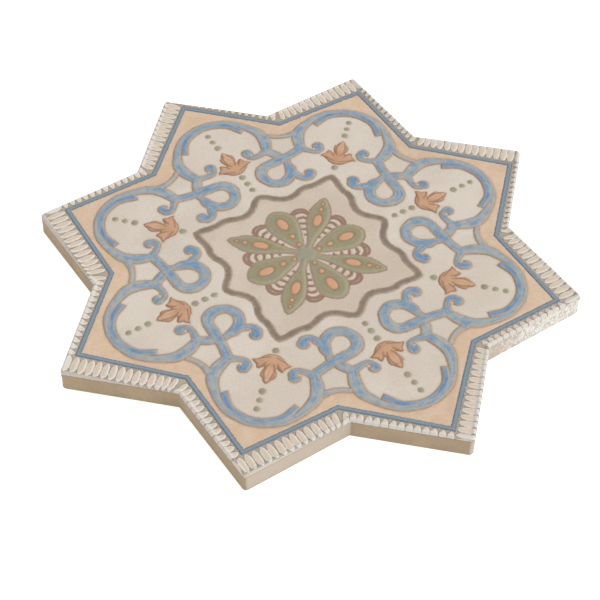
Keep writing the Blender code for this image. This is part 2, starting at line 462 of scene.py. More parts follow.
def frame_line(u, w, index):
    """The slate line: a low fillet with a groove on both sides, along the line star's edge."""
    beyond = np.maximum(*line_flanks(u, w, index))
    inset = LINE_HALF - np.abs(beyond + LINE_HALF)
    height = LINE_RISE * swell(inset, 5.0) - LINE_GROOVE * groove(inset, 3.0)
    return {"frame": inset, "rim": beyond}, height


def paint_frame_line(paint, colour, hand_drawn):
    """Slate blue, darker along both edges where the brush was pressed."""
    slate = paint.mix(hand_drawn["fine"], srgb(143, 153, 157), srgb(121, 137, 149))
    slate = paint.mix(paint.step(paint.field("frame"), 1.5, 7.0, 0.8, 0.0), slate, srgb(92, 110, 127))
    return paint.mix(hand_drawn["mask"]("frame"), colour, slate)


# Gadroons of the rim
#
# Thirteen or fourteen pressed ovals stand side by side along each flank of a point, in white slip with a
# peach heart. The row on the wider left flank runs on past the line's corner, and where the rim is narrow the
# ovals bend over its rounded edge.

PITCH = 28.2
FIRST_OVAL = 13.0
LAST_GAP = 23.0
OVAL_START = 2.0
OVAL_HALF = 12.6
OVAL_END = 75.0
OVAL_CUT = 19.0
CUT_CORNER = 4.0
FLANK_OVERLAP = 2.6
FAN_START = 75.0
FAN = 0.3
OVAL_RISE = 0.00024
OVAL_EDGE_RISE = 0.00006
GAP_DEPTH = 0.00006


def lip_distances(x, y, index):
    """Distances inwards from the start of the rounded rim to places, for the left and the right flank."""
    u, w = turned(x / UNIT, y / UNIT, -index * 2 * HALF_POINT)
    edge = (POINT_RADIUS * math.cos(math.pi / 4) - ARRIS) / UNIT
    return edge - (u + w) / math.sqrt(2), edge - (u - w) / math.sqrt(2)


def rounded_meet(first, second, radius):
    """Inset of the overlap of two forms, with its corner rounded."""
    corner = radius - np.hypot(np.maximum(radius - first, 0.0), np.maximum(radius - second, 0.0))
    return np.where(np.minimum(first, second) < radius, corner, np.minimum(first, second))


def flank_ovals(u, w, index, nearest_lip):
    """Inset of the ovals of one point, and the place on its own flank.

    Along a flank t runs from the corner of the line star towards the notch, where the ovals fan out, and e
    runs outwards from the line. At the share s of its length an oval is half as wide as
    OVAL_HALF (1 - |2s - 1|^2.6)^0.6. Where the rim is narrower than that, the oval runs down the side until
    the lip's distance is -OVAL_CUT. Past the notch's middle line the point has no ovals.
    """
    (tip, _), (notch, spread) = line_corners(index)
    length = math.hypot(tip - notch, spread)
    last = round((length - FIRST_OVAL - LAST_GAP) / PITCH)
    pitch = (length - FIRST_OVAL - LAST_GAP) / last
    left, right = line_flanks(u, w, index)
    on_left = left > FLANK_OVERLAP
    e = np.where(on_left, left, right)
    t = (tip - u) * math.sin(LINE_LEAN) + np.where(on_left, w, -w) * math.cos(LINE_LEAN)
    from_notch = (length - t - e * math.tan(HALF_POINT)) * math.cos(HALF_POINT)
    t = t + e * FAN * np.clip((t - length + FAN_START) / (FAN_START - LAST_GAP), 0.0, 1.0)

    number = np.clip(np.round((t - FIRST_OVAL) / pitch), np.where(on_left, -4, 0), last)
    chance = np.sin(number * 12.9898 + index * 78.233 + on_left * 37.719) * 43758.5453
    chance = chance - np.floor(chance)
    aside = t - FIRST_OVAL - number * pitch - 1.8 * (chance - 0.5)
    share = np.clip((e - OVAL_START) / (OVAL_END + 4.0 * (chance - 0.5) - OVAL_START), 0.0, 1.0)
    half = (OVAL_HALF + 0.8 * (chance - 0.5)) * (1 - np.abs(2 * share - 1) ** 2.6) ** 0.6
    inset = rounded_meet(half - np.abs(aside), nearest_lip + OVAL_CUT, CUT_CORNER)
    inset = np.minimum(inset, from_notch - 2.5)
    inset = np.where(e > 0, np.minimum(inset, e - OVAL_START), -FAR)
    return inset, e, aside + 40 * chance


def gadroons(x, y, index, nearest_lip):
    """The ovals of a point and, where its piece reaches past a notch's middle line, of its neighbours."""
    inset, e, aside = flank_ovals(*line_axes(x, y, index), index, nearest_lip)
    for other in ((index - 1) % POINTS, (index + 1) % POINTS):
        more = flank_ovals(*line_axes(x, y, other), other, nearest_lip)
        nearer = more[0] > inset
        inset, e, aside = (np.where(nearer, new, old) for new, old in zip(more, (inset, e, aside)))
    fields = {"oval": inset, "oval_along": e, "oval_aside": aside}
    height = np.where(e > 0, OVAL_RISE * swell(inset, 10.0) + OVAL_EDGE_RISE * swell(inset, 3.0), 0.0)
    height = height - GAP_DEPTH * swell(e, 3.0) * swell(-inset, 2.0)
    return fields, height


def paint_rim(paint, colour, hand_drawn):
    """Taupe in the gaps, white slip round every oval and a thin peach wash brushed down its heart.

    The white is painted darker where it turns over the rounded edge, as painted shade, and the pale band
    beyond the ovals is pale slip with a painted highlight of that edge.
    """
    taupe = paint.mix(hand_drawn["broad"], srgb(182, 168, 151), srgb(170, 156, 139))
    on_rim = paint.step(paint.field("rim"), -1.0, 1.0)
    colour = paint.mix(on_rim, colour, taupe)
    gap = paint.step(paint.math("ABSOLUTE", paint.math("ADD", paint.field("oval"), 1.5)), 0.5, 3.5, 0.6, 0.0)
    colour = paint.mix(paint.math("MULTIPLY", gap, on_rim), colour, srgb(140, 125, 108))
    along = paint.math("MULTIPLY", paint.field("oval_along"), 0.022)
    aside = paint.math("MULTIPLY", paint.field("oval_aside"), 0.16)
    brush = paint.noise(paint.vector(along, aside, 0.0), 1.0, 3.0, 0.65)
    white = paint.mix(hand_drawn["fine"], srgb(227, 221, 213), srgb(214, 207, 197))
    # Painted shade: the white is painted darker where the ovals turn down over the rounded edge.
    white = paint.mix(paint.step(paint.field("lip"), -9.0, -1.0, 0.8, 0.0), white, srgb(204, 198, 190))
    heart = paint.mix(paint.step(brush, 0.35, 0.65), srgb(221, 197, 171), srgb(209, 187, 162))
    inside = paint.math("ADD", paint.field("oval"), paint.about(brush, 7.0))
    flat = paint.step(paint.math("ADD", paint.field("lip"), paint.about(brush, 8.0)), 0.0, 16.0, 0.0, 0.85)
    oval = paint.mix(paint.math("MULTIPLY", paint.step(inside, 3.4, 7.0), flat), white, heart)
    # A pale band beyond the ovals' outer ends, over the rounded edge: pale slip, and in part a painted
    # highlight of that edge.
    beyond = paint.math("ADD", paint.field("oval_along"), paint.about(hand_drawn["speckle"], 5.0))
    beyond = paint.step(beyond, OVAL_END - 3.0, OVAL_END + 1.0, 0.0, 0.8)
    colour = paint.mix(paint.math("MULTIPLY", beyond, on_rim), colour, srgb(202, 193, 182))
    colour = paint.mix(hand_drawn["mask"]("oval", 1.0), colour, oval)
    end = paint.math("ADD", paint.field("lip"), paint.about(hand_drawn["speckle"], 5.0))
    end = paint.math("MULTIPLY", paint.step(end, -18.5, -15.5, 1.0, 0.0), on_rim)
    return paint.mix(end, colour, clay_colour(paint, hand_drawn["place"]))


# Scrolls
#
# Blue ribbons of slip stand in low relief between thin brown outlines: a ring with two volutes in every
# point, a knot with a loop and a curl at every notch, and a small link that ties neighbouring rings together.
# A row of a path is u, w, half the width, and how strong the blue is.

OUTLINE_HALF = 4.0
OUTLINE_INSIDE = 2.0
REACH = 45.0

RING = (
    (535, 150, 18, 0.55), (567, 165, 23, 0.5), (597, 176, 25, 0.4), (642, 178, 23.5, 0.4),
    (693, 155, 18, 0.3), (731, 129, 15.5, 0.3), (764, 91.5, 15, 0.4), (787, 33, 13.5, 0.5), (789, 0, 14, 0.5),
)
CRESCENT = (
    (668, 139, 13, 0.6), (685, 127, 14.5, 0.85), (706.5, 115.5, 15.5, 1.0), (730, 101.5, 15, 1.0),
    (752, 78.5, 14.7, 1.0), (770.5, 35, 14, 0.85), (776, 0, 14.5, 0.8),
)
BARB = (677.0, 118.0)
BARB_SLOPE = math.radians(60.8)
VOLUTE = (
    (541, 150, 20, 0.5), (537, 128, 14.5, 0.6), (535, 108, 13.5, 0.75), (541, 88, 16.5, 0.85),
    (556, 81, 18.5, 0.9),
)
VOLUTE_BULB = ((568, 90, 23), (567, 81, 23))
VOLUTE_EYE = ((552, 102), (553, 93))
STRAND = ((530, 157, 20, 0.5), (490, 185, 19.7, 0.6), (445, 223.5, 22.3, 0.7), (410, 257, 21.5, 0.5))
LOOP = (
    (410, 257, 21.5, 0.5), (380, 267, 24, 0.45), (347.5, 255, 23.6, 0.5), (328.5, 225, 21, 0.6),
    (325.5, 205, 21.5, 0.65), (336, 175, 22, 0.6), (355, 161, 22.7, 0.6), (384, 153.5, 22.5, 0.8),
    (417.5, 161, 22.5, 0.9), (440, 178, 16, 0.6), (465, 190, 14, 0.5),
)
CURL = (
    (412, 158, 18, 0.5), (398, 140, 17.5, 0.6), (389, 118, 17.5, 0.7), (389, 98, 19.5, 0.85),
    (399, 84, 21.5, 0.95),
)
CURL_BULB = (415, 84, 24.5)
CURL_EYE = (405, 107)
NEAR_LINK = ((470, 215, 17, 0.75), (474.5, 225.6, 21.5, 0.75), (483, 245.4, 20.5, 0.7), (488, 268.7, 20, 0.6))
FAR_LINK = (
    (576, 285, 12, 0.1), (579, 262, 12, 0.0), (587, 238, 12.5, 0.0), (599, 217, 13.5, 0.1),
    (615, 200, 15, 0.2),
)
EYE_RADIUS = 5.0
CROSSING = (465.0, 212.0)
CROSSING_REACH = 48.0
RIBBON_RISE = 0.00038
CRESCENT_RISE = 0.00012
OUTLINE_DEPTH = 0.00014
SPUR_DEPTH = 0.00008


def smooth_path(path, steps=7):
    """A Catmull-Rom curve through the rows of the path, which hold a place and any other values."""
    knots = np.array(path, float)
    padded = np.vstack([2 * knots[0] - knots[1], knots, 2 * knots[-1] - knots[-2]])
    a, b, c, d = (padded[k:len(padded) - 3 + k, None] for k in range(4))
    s = np.linspace(0.0, 1.0, steps, endpoint=False)[:, None]
    curve = 0.5 * (2 * b + (c - a) * s + (2 * a - 5 * b + 4 * c - d) * s**2 + (3 * b - a - 3 * c + d) * s**3)
    return np.vstack([curve.reshape(-1, knots.shape[1]), knots[-1]])


def stroke(path, x, y):
    """Fields of one stroke of slip that follows a smooth path.

    The inset is half the width at the nearest place of the path, less the distance from it. The others are
    the way along the path, the distance across it to the right, and the strength of the blue there.
    """
    curve = smooth_path(path)
    start, step = curve[:-1], np.diff(curve, axis=0)
    length = np.hypot(step[:, 0], step[:, 1])
    travel = np.cumsum(length) - length
    low, high = curve[:, :2].min(axis=0) - REACH, curve[:, :2].max(axis=0) + REACH
    near = (x > low[0]) & (x < high[0]) & (y > low[1]) & (y < high[1])
    from_x, from_y = x[near, None] - start[:, 0], y[near, None] - start[:, 1]
    share = np.clip((from_x * step[:, 0] + from_y * step[:, 1]) / length**2, 0.0, 1.0)
    distance = np.hypot(from_x - share * step[:, 0], from_y - share * step[:, 1])
    inset = start[:, 2] + share * step[:, 2] - distance
    best = inset.argmax(axis=1)
    row = np.arange(len(best))
    share = share[row, best]
    side = np.sign(from_x * step[:, 1] - from_y * step[:, 0])[row, best]
    result = np.zeros((4,) + x.shape)
    result[0] = -FAR
    result[:, near] = (
        inset[row, best],
        travel[best] + share * length[best],
        side * distance[row, best],
        start[best, 3] + share * step[best, 3],
    )
    return result


def disc(x, y, centre, radius):
    """Inset of places in a round spot."""
    return radius - np.hypot(x - centre[0], y - centre[1])


def bulb(x, y, circle, strength):
    """The round end of a stroke, as the four fields of a stroke."""
    inset = disc(x, y, circle, circle[2])
    return np.stack([inset, x - circle[0], y - circle[1], np.full_like(x, strength)])


def joined(strokes):
    """The union of strokes: at each place the fields of the stroke that it lies deepest in."""
    stack = np.stack(strokes)
    best = stack[:, 0].argmax(axis=0)
    return np.take_along_axis(stack, best[None, None], axis=0)[0]


def scrolls(u, w, x, y, index):
    """The ribbons near one point: the ring in its axes (u, w), the knot in the axes (x, y) of the fold.

    The crescent's end is cut off straight through BARB, at the angle BARB_SLOPE to the point's axis.
    """
    side = index % 2
    crescent = stroke(CRESCENT, u, w)
    cut = (u - BARB[0]) * math.sin(BARB_SLOPE) - (w - BARB[1]) * math.cos(BARB_SLOPE)
    crescent[0] = np.minimum(crescent[0], cut)
    near_link = stroke(NEAR_LINK, x, y)
    under = joined(
        [
            stroke(RING, u, w),
            crescent,
            stroke(VOLUTE, u, w),
            bulb(u, w, VOLUTE_BULB[side], 0.95),
            stroke(LOOP, x, y),
            stroke(CURL, x, y),
            bulb(x, y, CURL_BULB, 1.0),
            near_link,
            stroke(FAR_LINK, x, y),
        ]
    )
    eyes = np.maximum(disc(u, w, VOLUTE_EYE[side], EYE_RADIUS), disc(x, y, CURL_EYE, EYE_RADIUS))
    under[0] = np.minimum(under[0], -eyes)
    over = stroke(STRAND, x, y)
    both = joined([under, over])
    crossing = disc(x, y, CROSSING, CROSSING_REACH)
    edge, crossed = np.abs(both[0] - OUTLINE_INSIDE), np.abs(over[0] - OUTLINE_INSIDE)
    outline = np.where(crossing > 0, np.minimum(edge, crossed), edge)
    spur = np.where(under[0] > 0, np.abs(crescent[0]), FAR)
    fields = {
        "ribbon": both[0],
        "along": both[1],
        "across": both[2],
        "strength": both[3],
        "link": near_link[0],
        "outline": OUTLINE_HALF - outline,
    }
    height = RIBBON_RISE * swell(both[0], 10.0) + CRESCENT_RISE * swell(crescent[0], 9.0)
    height -= OUTLINE_DEPTH * groove(outline, 3.4) + SPUR_DEPTH * groove(spur, 3.0)
    return fields, height


def paint_scrolls(paint, colour, hand_drawn):
    """Thin blue, brushed along the ribbon in streaks over a grey wash, inside a tan line that bled, with
    painted shade along one edge of every ribbon.
    """
    flow = paint.vector(
        paint.math("MULTIPLY", paint.field("along"), 0.016),
        paint.math("MULTIPLY", paint.field("across"), 0.1),
        paint.about(hand_drawn["mottle"], 4.0),
    )
    streak = paint.noise(flow, 1.0, 4.0, 0.62)
    strength = paint.math("ADD", paint.field("strength"), paint.about(streak, 2.8))
    strength = paint.math("ADD", strength, paint.about(hand_drawn["mottle"], 1.6))
    strength = paint.math("ADD", strength, paint.step(paint.field("ribbon"), 4.0, 11.0, -0.25, 0.05))
    strength = paint.math("SUBTRACT", strength, paint.step(paint.field("link"), 5.0, 14.0, 0.0, 0.3))
    wash = paint.mix(hand_drawn["fine"], srgb(181, 178, 171), srgb(166, 167, 163))
    blue = paint.mix(paint.step(strength, 0.0, 0.5), wash, srgb(150, 163, 171))
    blue = paint.mix(paint.step(strength, 0.45, 1.0), blue, srgb(122, 149, 174))
    blue = paint.mix(paint.step(strength, 0.95, 1.6), blue, srgb(94, 134, 174))
    edge = paint.math("ADD", paint.field("ribbon"), paint.about(streak, 7.0))
    blue = paint.mix(paint.step(edge, 1.0, 9.0, 0.75, 0.0), blue, srgb(158, 158, 154))
    # Painted shade: one edge of every ribbon, on the right of its path, is painted darker, as if its relief
    # shaded it.
    shade = paint.step(paint.field("across"), 0.0, 8.0)
    shade = paint.math("MULTIPLY", paint.step(edge, 1.5, 8.0, 0.65, 0.0), shade)
    blue = paint.mix(shade, blue, srgb(112, 124, 134))
    colour = paint.mix(paint.step(paint.field("ribbon"), -1.5, 3.5), colour, blue)
    loose = paint.math("ADD", paint.field("outline"), paint.about(hand_drawn["speckle"], 5.0))
    colour = paint.mix(paint.step(loose, -6.0, 3.0, 0.0, 0.55), colour, srgb(188, 157, 129))
    broken = paint.step(hand_drawn["mottle"], 0.35, 0.6, 0.2, 0.65)
    core = paint.math("MULTIPLY", paint.step(loose, 0.5, 4.0), broken)
    return paint.mix(core, colour, srgb(136, 119, 101))


# Palmettes
#
# A terracotta palmette stands at the root of every point, its leaves modelled and veined. It was pressed with
# the face and then washed with thin red-brown slip.

PALMETTE = (
    (484.5, 0), (486, 15), (493, 29), (505, 41), (515, 52), (519, 62), (521, 71.5), (531, 63), (540, 52),
    (550, 49), (557, 46), (557, 38), (551, 30), (544, 22.5), (550, 21), (562, 25.5), (578, 28.5), (589, 26),
    (594, 18.5), (605, 12.5), (613, 6), (618, 0),
)
LEAF_HEART = ((545, 3), (570, 12), (596, 9), (615, 0))
LEAF_VEINS = (
    ((527, 20), (543, 30), (555, 44)),
    ((534, 8), (550, 15), (575, 17), (598, 8)),
    ((500, 12), (508, 30), (517, 52)),
)
VEIN_HALF = 2.2
LEAF_RISE = 0.00042
LEAF_GROOVE = 0.00012
VEIN_DEPTH = 0.00016


def polygon_inset(path, x, y, through=()):
    """Inset of places in the shape that a path closes off, with its distance measured to the path alone.

    The two ends are joined to each other, or through more corners, by lines that don't count as an edge.
    """
    path = np.array(path, float)
    start, step = path[:-1], np.diff(path, axis=0)
    ring = np.vstack([path] + [np.array([corner], float) for corner in through] + [path[:1]])
    low, high = ring.min(axis=0) - REACH, ring.max(axis=0) + REACH
    near = (x > low[0]) & (x < high[0]) & (y < high[1])
    px, py = x[near, None], y[near, None]
    from_x, from_y = px - start[:, 0], py - start[:, 1]
    share = np.clip((from_x * step[:, 0] + from_y * step[:, 1]) / (step**2).sum(axis=1), 0.0, 1.0)
    distance = np.hypot(from_x - share * step[:, 0], from_y - share * step[:, 1]).min(axis=1)
    corner, side = ring[:-1], np.diff(ring, axis=0)
    spans = (corner[:, 1] > py) != (corner[:, 1] + side[:, 1] > py)
    slope = side[:, 0] / np.where(side[:, 1] == 0, 1e-9, side[:, 1])
    inside = (spans & (px < corner[:, 0] + (py - corner[:, 1]) * slope)).sum(axis=1) % 2 == 1
    inset = np.full(x.shape, -FAR)
    inset[near] = np.where(inside, distance, -distance)
    return inset


def vein_distance(paths, x, y):
    """Distance to the nearest of some thin lines."""
    nearest = np.full(x.shape, FAR)
    for path in paths:
        curve = smooth_path([point + (0.0, 0.0) for point in path], steps=4)
        nearest = np.minimum(nearest, -stroke(curve, x, y)[0])
    return nearest


def palmette(u, w):
    """The palmette's leaves, their veins and the pale heart of the middle leaf."""
    inset = polygon_inset(PALMETTE, u, w)
    heart = polygon_inset(smooth_path(LEAF_HEART, steps=4), u, w)
    veins = vein_distance(LEAF_VEINS, u, w)
    fields = {"leaf": inset, "heart": heart, "vein": VEIN_HALF - veins}
    height = LEAF_RISE * swell(inset, 13.0) - VEIN_DEPTH * groove(veins, 3.0) * (inset > 0)
    height -= LEAF_GROOVE * groove(inset, 3.2)
    return fields, height


def paint_palmettes(paint, colour, hand_drawn):
    """Terracotta, paler on the crowns of the leaves, with brown edges and veins."""
    leaf = paint.mix(hand_drawn["fine"], srgb(208, 166, 132), srgb(190, 146, 114))
    leaf = paint.mix(paint.step(hand_drawn["mottle"], 0.42, 0.62, 0.0, 0.55), leaf, srgb(184, 138, 108))
    leaf = paint.mix(paint.step(paint.field("heart"), -3.0, 4.0, 0.0, 0.5), leaf, srgb(216, 178, 144))
    edge = paint.math("ADD", paint.field("leaf"), paint.about(hand_drawn["speckle"], 5.0))
    leaf = paint.mix(paint.step(edge, 0.5, 8.0, 0.85, 0.0), leaf, srgb(146, 108, 84))
    leaf = paint.mix(paint.step(paint.field("vein"), -3.0, 2.0, 0.0, 0.7), leaf, srgb(142, 102, 78))
    colour = paint.mix(paint.step(paint.field("leaf"), -7.0, 0.0, 0.0, 0.3), colour, srgb(176, 146, 120))
    return paint.mix(hand_drawn["mask"]("leaf"), colour, leaf)


# Beads
#
# Small green beads stand in a row on the axis of every point, on both sides of the palmette. They were
# pressed with the face, and each was touched once with a wet olive brush.

OUTER_BEADS = ((650, 14), (689.5, 12), (727, 12))
INNER_BEADS = (((467, 14),), ((385, 12.5), (423, 13.5), (462.5, 14)))
BEAD_RISE = 0.0004
BEAD_GROOVE = 0.00008


def beads(u, w, index):
    """The beads of one point."""
    inset = np.full(u.shape, -FAR)
    for centre, radius in OUTER_BEADS + INNER_BEADS[index % 2]:
        inset = np.maximum(inset, disc(u, w, (centre, 0.0), radius))
    height = BEAD_RISE * swell(inset, 12.0) - BEAD_GROOVE * groove(inset, 3.0)
    return {"bead": inset}, height


def paint_beads(paint, colour, hand_drawn):
    """A soft spot of olive, mottled with green and brown, that bled into the slip around it."""
    loose = paint.math("ADD", paint.field("bead"), paint.about(hand_drawn["speckle"], 8.0))
    bead = paint.mix(hand_drawn["fine"], srgb(166, 158, 132), srgb(141, 139, 112))
    bead = paint.mix(paint.step(hand_drawn["mottle"], 0.45, 0.6, 0.0, 0.6), bead, srgb(148, 128, 104))
    return paint.mix(paint.step(loose, -4.0, 5.0, 0.0, 0.92), colour, bead)


# Waved line
#
# A waved brown line closes in the middle field, which was given a slightly darker ground. The line is a low
# pressed ridge, painted along its crest.

WAVE = (
    (414.5, 0), (399, 20), (373, 40), (352, 61), (339, 81), (317, 99), (291, 110), (267, 127), (253, 151),
    (247, 180), (246.5, 210), (242, 230), (237.5, 237.5),
)
WAVE_HALF = 14.0
WAVE_RISE = 0.0002
WAVE_GROOVE = 0.0001


def waved_line(x, y):
    """The line, and the middle field inside it, in the axes of the fold."""
    curve = smooth_path(WAVE, steps=5)
    rows = np.column_stack([curve, np.zeros((len(curve), 2))])
    thick = stroke(rows, x, y)
    field = polygon_inset(curve, x, y, through=[(0.0, 0.0)])
    inset = WAVE_HALF + thick[0]
    height = WAVE_RISE * swell(inset, 8.0) - WAVE_GROOVE * groove(inset, 3.0)
    return {"wave": inset, "middle": field}, height


def paint_waved_line(paint, colour, hand_drawn):
    """Brown, darkest along its middle, that fades to tan at its edges."""
    loose = paint.math("ADD", paint.field("wave"), paint.about(hand_drawn["speckle"], 6.0))
    wave = paint.mix(paint.step(loose, 3.0, 10.0), srgb(166, 149, 130), srgb(139, 122, 106))
    wave = paint.mix(paint.step(hand_drawn["mottle"], 0.45, 0.62, 0.0, 0.5), wave, srgb(120, 105, 92))
    return paint.mix(paint.step(loose, -4.0, 4.0), colour, wave)


# Rosette
#
# Eight green petals with orange stones meet in the middle: pointed ones towards four points of the tile,
# rounder ones between them. Short ladders of white rungs fill the gaps between the petals.

LONG_PETAL = (
    (295, 0), (290, 8), (270, 20), (250, 30), (230, 37), (205, 41.5), (180, 41), (160, 37), (140, 32),
    (120, 27), (100, 20), (70, 12.5), (40, 10), (0, 8),
)
ROUND_PETAL = (
    (244, 0), (237.6, 18), (222, 38), (196, 54.4), (171, 58), (148, 54.4), (125, 47.4), (102.5, 38.9),
    (82, 31), (62, 22.6), (42.4, 14), (0, 10),
)
LONG_STONES = ((172, 30, 15.5), (232, 9, 7.5), (262, 6.5, 5.5))
ROUND_STONES = ((170, 31, 17.5), (99.7, 11, 10), (52, 8, 8))
MIDDLE_RADIUS = 36.0
RUNGS = ((80, 23, 7.5, 6.5), (108, 31, 8.5, 7.5), (135, 41, 8.5, 10), (160, 53, 6.5, 12))
BARS = (
    ((98, 16, 2.6, 0), (94, 27, 2.6, 0)),
    ((125, 25, 2.6, 0), (119, 43, 2.6, 0)),
    ((151, 34, 2.8, 0), (145, 58, 2.8, 0)),
    ((176, 44, 3.0, 0), (177, 58, 3.0, 0), (168, 72, 3.0, 0)),
    ((199, 45, 3.2, 0), (202, 64, 3.2, 0), (195, 82, 3.2, 0), (182, 92, 3.0, 0)),
    ((205, 46, 3.2, 0), (216, 60, 3.2, 0), (214, 80, 3.2, 0), (200, 96, 3.2, 0), (183, 103, 3.0, 0)),
)
ARCS = (
    ((186, 46, 6, 0), (191, 64, 7, 0), (178, 84, 6, 0)),
    ((206, 60, 4, 0), (206, 76, 4.5, 0), (194, 90, 3.5, 0)),
)
GAP_ANGLE = math.radians(19.5)
PETAL_RISE = 0.0004
PETAL_GROOVE = 0.00010
STONE_RISE = 0.0002
STONE_GROOVE = 0.0001
RUNG_RISE = 0.0002
BAR_DEPTH = 0.00012


def ellipse(x, y, centre, half_along, half_across, angle=0.0):
    """Inset of places in an ellipse whose long half lies at the angle."""
    along, across = turned(x - centre[0], y - centre[1], -angle)
    scale = np.sqrt((along / half_along) ** 2 + (across / half_across) ** 2)
    return (1 - scale) * min(half_along, half_across)


def rosette(x, y):
    """Petals, stones and ladders, in the axes of the fold. The diagonal's own axes are p and q."""
    p, q = turned(x, y, -math.pi / 4)
    q = np.abs(q)
    petal = np.maximum(
        polygon_inset(smooth_path(LONG_PETAL, steps=4), x, y, through=[(0.0, 0.0)]),
        polygon_inset(smooth_path(ROUND_PETAL, steps=4), p, q, through=[(0.0, 0.0)]),
    )
    middle = disc(x, y, (0.0, 0.0), MIDDLE_RADIUS)
    petal = np.maximum(petal, middle)
    stone = np.full(x.shape, -FAR)
    for centre, along, across in LONG_STONES:
        stone = np.maximum(stone, ellipse(x, y, (centre, 0.0), along, across))
    for centre, along, across in ROUND_STONES:
        stone = np.maximum(stone, ellipse(p, q, (centre, 0.0), along, across))
    rung = np.full(x.shape, -FAR)
    for along, across, half_along, half_across in RUNGS:
        rung = np.maximum(rung, ellipse(x, y, (along, across), half_along, half_across, GAP_ANGLE))
    for path in ARCS:
        rung = np.maximum(rung, stroke(path, x, y)[0])
    bar = np.full(x.shape, -FAR)
    for path in BARS:
        bar = np.maximum(bar, stroke(path, x, y)[0])
    open_ground = np.clip(-petal / 3.0, 0.0, 1.0)
    fields = {"petal": petal, "stone": stone, "rung": rung, "bar": bar, "middle_spot": middle}
    height = PETAL_RISE * swell(petal, 18.0) - PETAL_GROOVE * groove(petal, 3.5)
    height += STONE_RISE * swell(stone, 9.0) - STONE_GROOVE * groove(stone, 3.0)
    height += open_ground * (RUNG_RISE * swell(rung, 6.0) - BAR_DEPTH * groove(bar - 3.0, 3.0))
    return fields, height


def paint_rosette(paint, colour, hand_drawn):
    """Olive petals, paler along the edge, outlined in brown; orange stones; white rungs, brown bars."""
    rung = paint.math("ADD", paint.field("rung"), paint.about(hand_drawn["speckle"], 5.0))
    colour = paint.mix(paint.step(rung, 1.0, 6.0), colour, srgb(214, 199, 180))
    bar = paint.math("ADD", paint.field("bar"), paint.about(hand_drawn["speckle"], 3.0))
    colour = paint.mix(paint.step(bar, -6.0, -0.5, 0.0, 0.85), colour, srgb(140, 102, 80))
    edge = paint.math("ADD", paint.field("petal"), paint.about(hand_drawn["speckle"], 8.0))
    colour = paint.mix(paint.step(edge, -8.0, -1.0, 0.0, 0.8), colour, srgb(146, 116, 92))
    olive = paint.mix(hand_drawn["fine"], srgb(164, 152, 119), srgb(144, 135, 104))
    olive = paint.mix(paint.step(hand_drawn["mottle"], 0.45, 0.62, 0.0, 0.55), olive, srgb(138, 143, 121))
    pale = paint.mix(hand_drawn["fine"], srgb(176, 168, 143), srgb(160, 152, 128))
    petal = paint.mix(paint.step(edge, 6.0, 17.0, 0.35, 1.0), pale, olive)
    petal = paint.mix(paint.step(edge, 0.0, 5.0, 0.6, 0.0), petal, srgb(150, 134, 108))
    middle = paint.step(paint.field("middle_spot"), -10.0, 12.0, 0.0, 0.8)
    petal = paint.mix(middle, petal, srgb(154, 154, 132))
    colour = paint.mix(hand_drawn["mask"]("petal", 2.0), colour, petal)
    stone = paint.math("ADD", paint.field("stone"), paint.about(hand_drawn["speckle"], 4.0))
    colour = paint.mix(paint.step(stone, -9.0, 0.0, 0.0, 0.75), colour, srgb(148, 116, 88))
    orange = paint.mix(hand_drawn["fine"], srgb(216, 168, 131), srgb(202, 150, 114))
    return paint.mix(paint.step(stone, -1.5, 4.0), colour, orange)


# Painted face
#
# The face is one pressed surface. Ground, ribbons, leaves, beads and rim are the same clay, so their heights
# add up. It was covered with cream slip, and the brush follows the forms by hand, never quite on them.

GROUND = 0.0092
TOP = THICKNESS - 0.00003
SLIP_OF_HAND = 0.5 * UNIT
LIP_RISE = 0.00068
LIP_WIDTH = 9.0
LIP_WEAR = 0.45
FACE_UNEVENNESS = 0.00005
FACE_CELLS = 208
RIM_ROWS = 24
ARRIS_ROWS = 6
DROP_ROWS = 3

PEACH_EDGE = (
    (
        (789, 0), (787, 33), (764, 91.5), (731, 129), (693, 155), (642, 178), (600, 190), (599, 217),
        (587, 238), (583, 241.5),
    ),
    (
        (789, 0), (787, 33), (764, 91.5), (731, 129), (693, 155), (642, 178), (612, 195), (609, 206),
        (595, 224), (583, 241.5),
    ),
)
PEACH_WAY_BACK = ((560, 300), (0, 60), (0, 0))

PAINT_FIELDS = (
    "frame", "rim", "oval", "oval_along", "oval_aside", "lip", "facing", "ribbon", "along", "across",
    "strength", "link", "outline", "leaf", "heart", "vein", "bead", "wave", "middle", "petal", "stone",
    "rung", "bar", "middle_spot", "peach",
)


def face_fields(x, y, index, inner):
    """All the paint fields and the height of the face, at places near one point of the tile."""
    lip = np.minimum(*lip_distances(x, y, index))
    fields, height = frame_line(*line_axes(x, y, index), index)
    more, rise = gadroons(x, y, index, lip)
    fields.update(more)
    height += rise
    if inner:
        slipped_x = x + SLIP_OF_HAND * hand(x, y, 1, 0.030)
        slipped_y = y + SLIP_OF_HAND * hand(x, y, 2, 0.030)
        u, w = to_ornament(slipped_x, slipped_y, index)
        w = np.abs(w)
        fold_x, fold_y = (u, w) if index % 2 == 0 else ((u + w) / math.sqrt(2), (u - w) / math.sqrt(2))
        fold_y = np.abs(fold_y)
        for more, rise in (
            scrolls(u, w, fold_x, fold_y, index),
            palmette(u, w),
            beads(u, w, index),
            waved_line(fold_x, fold_y),
            rosette(fold_x, fold_y),
        ):
            fields.update(more)
            height += rise
        fields["peach"] = -polygon_inset(PEACH_EDGE[index % 2], u, w, through=PEACH_WAY_BACK)
    fields["lip"] = lip
    worn = np.clip(1 - lip / LIP_WIDTH, 0.0, 1.0)
    height = height * (1 - LIP_WEAR * worn) + LIP_RISE * worn
    height += FACE_UNEVENNESS * hand(x, y, 3, 0.040)
    fields = {name: fields.get(name, np.full(x.shape, -FAR)) for name in PAINT_FIELDS}
    return fields, np.minimum(GROUND + height, TOP)


